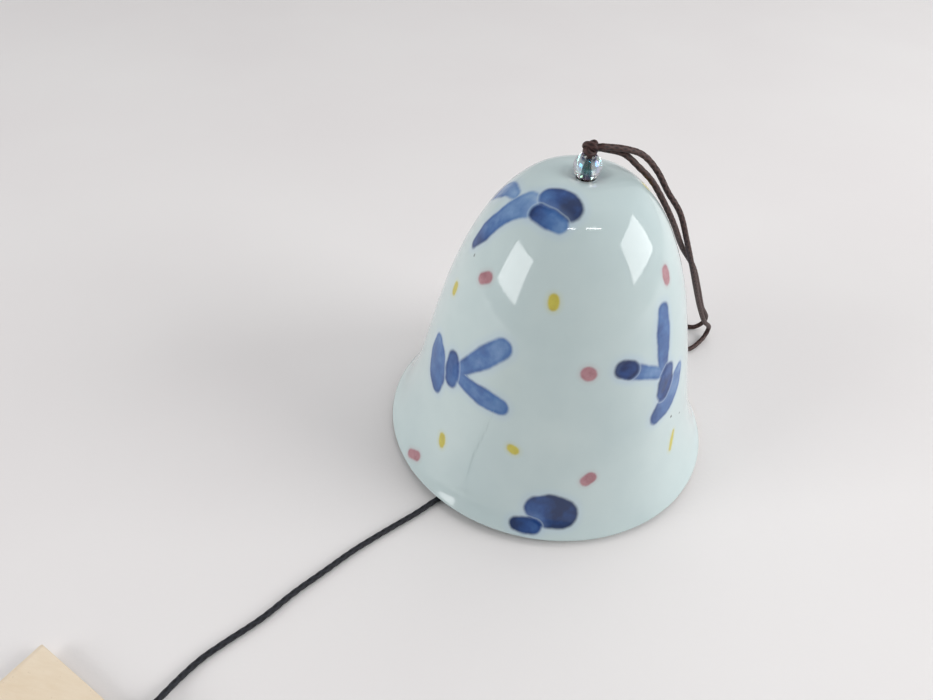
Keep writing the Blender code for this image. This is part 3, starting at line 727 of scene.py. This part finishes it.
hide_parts("wind_cord")
strip_knot = tied_knot("strip_knot", "tanzaku_knot", "strip", (0.5, 0.8, 0.3), black_braid)


# ---------------------------------------------------------------------------------------------
# Bight and paper strip.  The cord's end goes through a punched hole in a plain cream card and
# back to the knot, so the card hangs below the bell and catches the wind.
STRIP_HEADING = math.radians(248.0)
STRIP_LENGTH = 150.0 * MM
STRIP_WIDTH = 60.0 * MM
STRIP_THICKNESS = 0.6 * MM
STRIP_HOLE_RADIUS = 2.5 * MM
HOLE_FROM_EDGE = 7.0 * MM
EDGE_FROM_KNOT = 3.0 * MM
CARD_CORNER = 0.4 * MM
CARD_CURL = 0.5 * MM
CARD_WAVE = 0.2 * MM
CARD_ROWS = 34
EDGE_STEP = 2.0 * MM
BIGHT_START = 2.0 * MM

strip_place = Matrix.Translation(STRIP_KNOT) @ Matrix.Rotation(STRIP_HEADING, 4, "Z")
hole_x = EDGE_FROM_KNOT + HOLE_FROM_EDGE
slope = math.asin((2 * CORD_RADIUS + CLEARANCE) / (EDGE_FROM_KNOT + STRIP_LENGTH - hole_x))
bight_low = CORD_RADIUS - STRIP_KNOT.z
card_under = 2 * CORD_RADIUS + CLEARANCE - STRIP_KNOT.z
bight_high = (card_under + STRIP_THICKNESS + HOLE_FROM_EDGE * math.sin(slope)
              + CLEARANCE + CORD_RADIUS)
bend = (bight_high - bight_low) / 2
turn = np.radians(np.linspace(-90, 90, 9))
bight = np.column_stack([hole_x - bend / 2 + bend * np.cos(turn), 0 * turn,
                         (bight_high + bight_low) / 2 + bend * np.sin(turn)])
bight = np.vstack([(BIGHT_START, 0, bight_low), bight, (BIGHT_START, 0, bight_high)])
bight_path = run_in(smooth_line(moved(bight, strip_place), RING_STEP), STRIP_KNOT)
strip_bight = woven_surface("strip_bight", braided_tube(bight_path, CORD_RADIUS), capped=True)
strip_bight.data.materials.append(black_braid)
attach(strip_bight, "strip")
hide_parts("tanzaku_loop")

# The card is a closed band of points from the punched hole to the cut edge, over and under.
half_length, half_width = STRIP_LENGTH / 2, STRIP_WIDTH / 2
center_x = EDGE_FROM_KNOT + half_length
side_angle = np.radians(np.linspace(0, 90, 6))
corner_arcs = []
for quarter, (sx, sy) in enumerate(((1, 1), (-1, 1), (-1, -1), (1, -1))):
    a = side_angle + quarter * np.pi / 2
    corner_arcs.append(np.column_stack([
        center_x + sx * (half_length - CARD_CORNER) + CARD_CORNER * np.cos(a),
        sy * (half_width - CARD_CORNER) + CARD_CORNER * np.sin(a)]))
edge_line = []
for here, after in zip(corner_arcs, corner_arcs[1:] + corner_arcs[:1]):
    steps = round(np.linalg.norm(after[0] - here[-1]) / EDGE_STEP)
    share = np.linspace(0, 1, steps, endpoint=False)[1:, None]
    edge_line += [here, here[-1] + (after[0] - here[-1]) * share]
edge_line = np.vstack(edge_line)
toward = np.arctan2(edge_line[:, 1], edge_line[:, 0] - hole_x)
rim_line = np.column_stack([hole_x + STRIP_HOLE_RADIUS * np.cos(toward),
                            STRIP_HOLE_RADIUS * np.sin(toward)])
# The rows stand closer together near the hole.
spread = (np.linspace(0, 1, CARD_ROWS) ** 1.3)[:, None, None]
flat = rim_line + (edge_line - rim_line) * spread


def card_height(xy):
    """The card's lower face: it slopes from the cord at the hole down to its far end on the table,
    with the long sides curling up a little and a slow wave along it."""
    x, y = xy[..., 0], xy[..., 1]
    plane = card_under - (x - hole_x) * math.tan(slope)
    share = (x - EDGE_FROM_KNOT) / STRIP_LENGTH
    curl = CARD_CURL * (y / half_width) ** 2 * (0.4 + 0.6 * np.sin(np.pi * share))
    wave = CARD_WAVE * np.sin(2 * np.pi * share) ** 2
    return plane + curl + wave


low_face = np.dstack([flat, card_height(flat)])
high_face = low_face + np.array((0, 0, STRIP_THICKNESS))
card_points = np.concatenate([high_face, low_face[::-1]])
card = woven_surface("paper_card", moved(card_points, strip_place), run_shut=True)
card_paper, tree = finish("cream_card", {"IOR": 1.45, "Sheen Weight": 0.15, "Sheen Roughness": 0.5})
where = add(tree, "TexCoord", {}).outputs["Object"]
stretched = add(tree, "Mapping", {"Vector": where, "Rotation": (0, 0, -STRIP_HEADING),
                                  "Scale": (260.0, 1400.0, 900.0)})
fibres = noise(tree, stretched.outputs[0], 1.0, detail=5.0, roughness=0.65)
pulp = noise(tree, where, 70.0, detail=4.0)
mixed = sums(tree, "ADD", sums(tree, "MULTIPLY", fibres, 0.4), sums(tree, "MULTIPLY", pulp, 0.6))
paper = ramp(tree, mixed, ((0.3, (0.76, 0.62, 0.45)), (0.75, (0.86, 0.75, 0.60))))
flecks = eased(tree, noise(tree, where, 1700.0, detail=1.0), 0.72, 0.78, 0.0, 0.35)
to_shader(tree, "Base Color", blended(tree, flecks, paper, (0.50, 0.38, 0.24, 1.0)))
to_shader(tree, "Roughness", sums(tree, "MULTIPLY_ADD", fibres, 0.15, 0.75))
bumped(tree, fibres, distance=0.00008, strength=0.6)
card.data.materials.append(card_paper)
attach(card, "strip")
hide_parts("tanzaku")


# ---------------------------------------------------------------------------------------------
# The studio: a pale sheet under the bell, a window each side and two tubes overhead, with a
# broad fill from behind and a soft sky that is darker in front.
FLOOR_DROP = 0.05 * MM
FLOOR_HALF = 8.0
SHOULDER_HEIGHT = 60.0 * MM

floor_mesh = bpy.data.meshes.new("floor_sheet")
floor_mesh.from_pydata([(x * FLOOR_HALF, y * FLOOR_HALF, -FLOOR_DROP)
                        for x, y in ((-1, -1), (1, -1), (1, 1), (-1, 1))], [], [(0, 1, 2, 3)])
floor_sheet = bpy.data.objects.new("floor_sheet", floor_mesh)
bpy.context.scene.collection.objects.link(floor_sheet)
sheet_white, tree = finish("sheet_white", {"Specular IOR Level": 0.3})
where = add(tree, "TexCoord", {}).outputs["Object"]
to_shader(tree, "Base Color", ramp(tree, noise(tree, where, 9.0), (
    (0.3, (0.80, 0.77, 0.765)), (0.8, (0.83, 0.81, 0.80)))))
to_shader(tree, "Roughness", ramp(tree, noise(tree, where, 40.0), (
    (0.3, (0.5,) * 3), (0.8, (0.6,) * 3))))
bumped(tree, noise(tree, where, 900.0), distance=0.0001, strength=0.3)
floor_mesh.materials.append(sheet_white)


def window_light(name, azimuth, elevation, wide, tall, radiance, distance=0.9, level_turn=None):
    """A flat lamp that faces the bell's shoulder, seen from there at these angles in degrees, with
    azimuth 0 in front and 90 at the right.  Its power is pi times its area times its radiance.
    One with a level turn lies flat on the ceiling instead, turned by that much."""
    a, e = math.radians(azimuth), math.radians(elevation)
    toward = Vector((math.sin(a) * math.cos(e), -math.cos(a) * math.cos(e), math.sin(e)))
    lamp = bpy.data.lights.new(name, "AREA")
    lamp.shape = "RECTANGLE"
    lamp.size = 2 * distance * math.tan(math.radians(wide / 2))
    lamp.size_y = 2 * distance * math.tan(math.radians(tall / 2))
    lamp.energy = math.pi * lamp.size * lamp.size_y * radiance
    held = bpy.data.objects.new(name, lamp)
    held.location = Vector((0, 0, SHOULDER_HEIGHT)) + toward * distance
    held.rotation_mode = "QUATERNION"
    held.rotation_quaternion = (
        toward.to_track_quat("Z", "Y") if level_turn is None
        else Matrix.Rotation(math.radians(level_turn), 4, "Z").to_quaternion())
    bpy.context.scene.collection.objects.link(held)
    return held


window_light("left_window", azimuth=-59, elevation=15.5, wide=28, tall=22, radiance=7.0)
window_light("right_window", azimuth=89, elevation=23, wide=36, tall=27, radiance=6.5)
window_light("tube_left", azimuth=-9.5, elevation=59.5, wide=9.8, tall=1.3, radiance=20.0,
             distance=1.16, level_turn=0)
window_light("tube_right", azimuth=39.4, elevation=58.4, wide=17.9, tall=1.3, radiance=20.0,
             distance=1.17, level_turn=17)
ceiling_fill = window_light("ceiling_fill", azimuth=155, elevation=50, wide=66, tall=66,
                            radiance=0.85, distance=1.6)
ceiling_fill.visible_glossy = False

sky = bpy.data.worlds.new("soft_sky")
sky.use_nodes = True
bpy.context.scene.world = sky
tree = sky.node_tree
toward = add(tree, "TexCoord", {}).outputs["Generated"]
frontness = add(tree, "VectorMath", {0: toward, 1: (0.10, -0.93, 0.35)},
                operation="DOT_PRODUCT").outputs["Value"]
sky_color = ramp(tree, eased(tree, frontness, 0.2, 0.95), (
    (0.0, (0.50, 0.50, 0.51)), (1.0, (0.13, 0.135, 0.14))))
tree.links.new(sky_color, tree.nodes["Background"].inputs["Color"])
tree.nodes["Background"].inputs["Strength"].default_value = 0.85
bpy.context.scene.view_settings.view_transform = "Standard"


# ---------------------------------------------------------------------------------------------
# The camera stands in front of the bell and looks down on it, turned and rolled a little, so
# that the bell is right of the middle and the cord runs off at the lower left.
CAMERA_PLACE = Vector((0.0, -0.1496, 0.1617))
CAMERA_AHEAD = Vector((-0.118, 0.7229, -0.6808)).normalized()
CAMERA_ROLL = math.radians(2.66)
SENSOR_WIDTH = 36.0
FOCAL_LENGTH = 28.17

camera_data = bpy.data.cameras.new("camera")
camera_data.sensor_width = SENSOR_WIDTH
camera_data.lens = FOCAL_LENGTH
camera = bpy.data.objects.new("camera", camera_data)
camera.location = CAMERA_PLACE
camera.rotation_mode = "QUATERNION"
camera.rotation_quaternion = CAMERA_AHEAD.to_track_quat("-Z", "Y") @ Matrix.Rotation(
    CAMERA_ROLL, 4, "Z").to_quaternion()
camera_data.clip_start = 0.005
bpy.context.scene.collection.objects.link(camera)
bpy.context.scene.camera = camera
